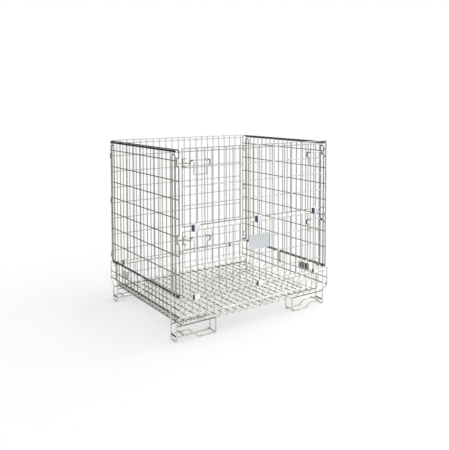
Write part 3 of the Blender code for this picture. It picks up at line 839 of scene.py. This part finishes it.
# ------------------------------------------------------------------------ stage
def build_floor():
    """A pale disc mixed with a painted white glow, which turns it into the white of the backdrop
    away from the container.
    """
    bm = bmesh.new()
    bmesh.ops.create_circle(bm, cap_ends=True, segments=96, radius=FLOOR_R)
    mesh = bpy.data.meshes.new("floor")
    bm.to_mesh(mesh)
    bm.free()
    nodes = Nodes("pale_floor")
    grain = nodes.ramp(nodes.noise(3, 3), [(0.3, (0.91, 0.91, 0.92)), (0.7, (0.94, 0.94, 0.95))])
    nodes.link(grain, nodes.shader.inputs["Base Color"])
    nodes.shader.inputs["Roughness"].default_value = 0.7
    distance = nodes.tree.nodes.new("ShaderNodeVectorMath")
    distance.operation = "DISTANCE"
    distance.inputs[1].default_value = GLOW_CENTRE
    nodes.link(nodes.where, distance.inputs[0])
    share = nodes.span(distance.outputs["Value"], GLOW_LEAST, 1.0, GLOW_FROM, GLOW_TO)
    glow = nodes.tree.nodes.new("ShaderNodeEmission")
    mix = nodes.tree.nodes.new("ShaderNodeMixShader")
    nodes.link(share, mix.inputs[0])
    nodes.link(nodes.shader.outputs[0], mix.inputs[1])
    nodes.link(glow.outputs[0], mix.inputs[2])
    nodes.link(mix.outputs[0], nodes.tree.nodes["Material Output"].inputs["Surface"])
    mesh.materials.append(nodes.material)
    floor = bpy.data.objects.new("floor", mesh)
    bpy.context.scene.collection.objects.link(floor)


def area_light(name, location, size, power, colour):
    light = bpy.data.lights.new(name, "AREA")
    light.shape = "SQUARE"
    light.size = size
    light.energy = power
    light.color = colour
    lamp = bpy.data.objects.new(name, light)
    lamp.location = location
    lamp.visible_camera = False
    direction = Vector(LIGHT_TARGET) - Vector(location)
    lamp.rotation_euler = direction.to_track_quat("-Z", "Y").to_euler()
    bpy.context.scene.collection.objects.link(lamp)


def build_lights():
    """A white tent round the container, with a dark opening far behind it, and two lamps."""
    world = bpy.data.worlds.new("studio")
    bpy.context.scene.world = world
    world.use_nodes = True
    tree = world.node_tree
    background = tree.nodes["Background"]
    background.inputs["Color"].default_value = (1.0, 1.0, 1.0, 1.0)
    facing = tree.nodes.new("ShaderNodeVectorMath")
    facing.operation = "DOT_PRODUCT"
    facing.inputs[1].default_value = (0.0, 1.0, 0.0)
    where = tree.nodes.new("ShaderNodeTexCoord").outputs["Generated"]
    tree.links.new(where, facing.inputs[0])
    tone = tree.nodes.new("ShaderNodeMapRange")
    tone.interpolation_type = "SMOOTHSTEP"
    tone.inputs["From Min"].default_value = OPENING_FROM
    tone.inputs["From Max"].default_value = OPENING_TO
    tone.inputs["To Min"].default_value = TENT
    tone.inputs["To Max"].default_value = OPENING
    tree.links.new(facing.outputs["Value"], tone.inputs["Value"])
    seen = tree.nodes.new("ShaderNodeLightPath").outputs["Is Camera Ray"]
    level = tree.nodes.new("ShaderNodeMix")
    level.inputs[VALUE_B].default_value = 1.0
    tree.links.new(seen, level.inputs["Factor"])
    tree.links.new(tone.outputs["Result"], level.inputs[VALUE_A])
    tree.links.new(level.outputs[VALUE_OUT], background.inputs["Strength"])
    area_light("key", (3.2, -0.6, 3.4), 2.2, 70, (1.0, 0.99, 0.97))
    area_light("fill", (-2.4, -3.0, 3.6), 2.0, 25, (1.0, 0.99, 0.96))
    bpy.context.scene.view_settings.view_transform = "Standard"


def build_camera():
    """The photo's camera, as solved from the container's corners and hinge points."""
    yaw, pitch, roll = math.radians(33.487), math.radians(3.052), math.radians(-0.1635)
    data = bpy.data.cameras.new("camera")
    data.sensor_width = 36.0
    data.lens = 46.252
    data.shift_x = 0.0322
    data.shift_y = -0.2076
    camera = bpy.data.objects.new("camera", data)
    forward = Vector((
        math.sin(yaw) * math.cos(pitch), math.cos(yaw) * math.cos(pitch), -math.sin(pitch)
    ))
    right = Vector((math.cos(yaw), -math.sin(yaw), 0))
    up = right.cross(forward)
    across = right * math.cos(roll) + up * math.sin(roll)
    upright = up * math.cos(roll) - right * math.sin(roll)
    turn = Matrix((across, upright, -forward)).transposed()
    camera.matrix_world = Matrix.Translation(place((-2.3294, -3.4367, 1.466))) @ turn.to_4x4()
    bpy.context.scene.collection.objects.link(camera)
    bpy.context.scene.camera = camera


build_camera()
build_deck_cross_wires()
build_deck_long_wires()
build_base_bars()
build_hinges()
for side in SIDES:
    for end in ENDS:
        build_foot(side, end)
for side, sign in SIDES.items():
    build_side_mesh(side, sign)
    build_side_edges(side, sign)
    build_side_catches(side, sign)
    build_side_frame(side, sign)
build_back_wall()
build_front()
for level, z in LATCH_LEVELS.items():
    for side, sign in SIDES.items():
        build_latch(side, sign, level, z)
build_clips()
build_plates()
build_floor()
build_lights()
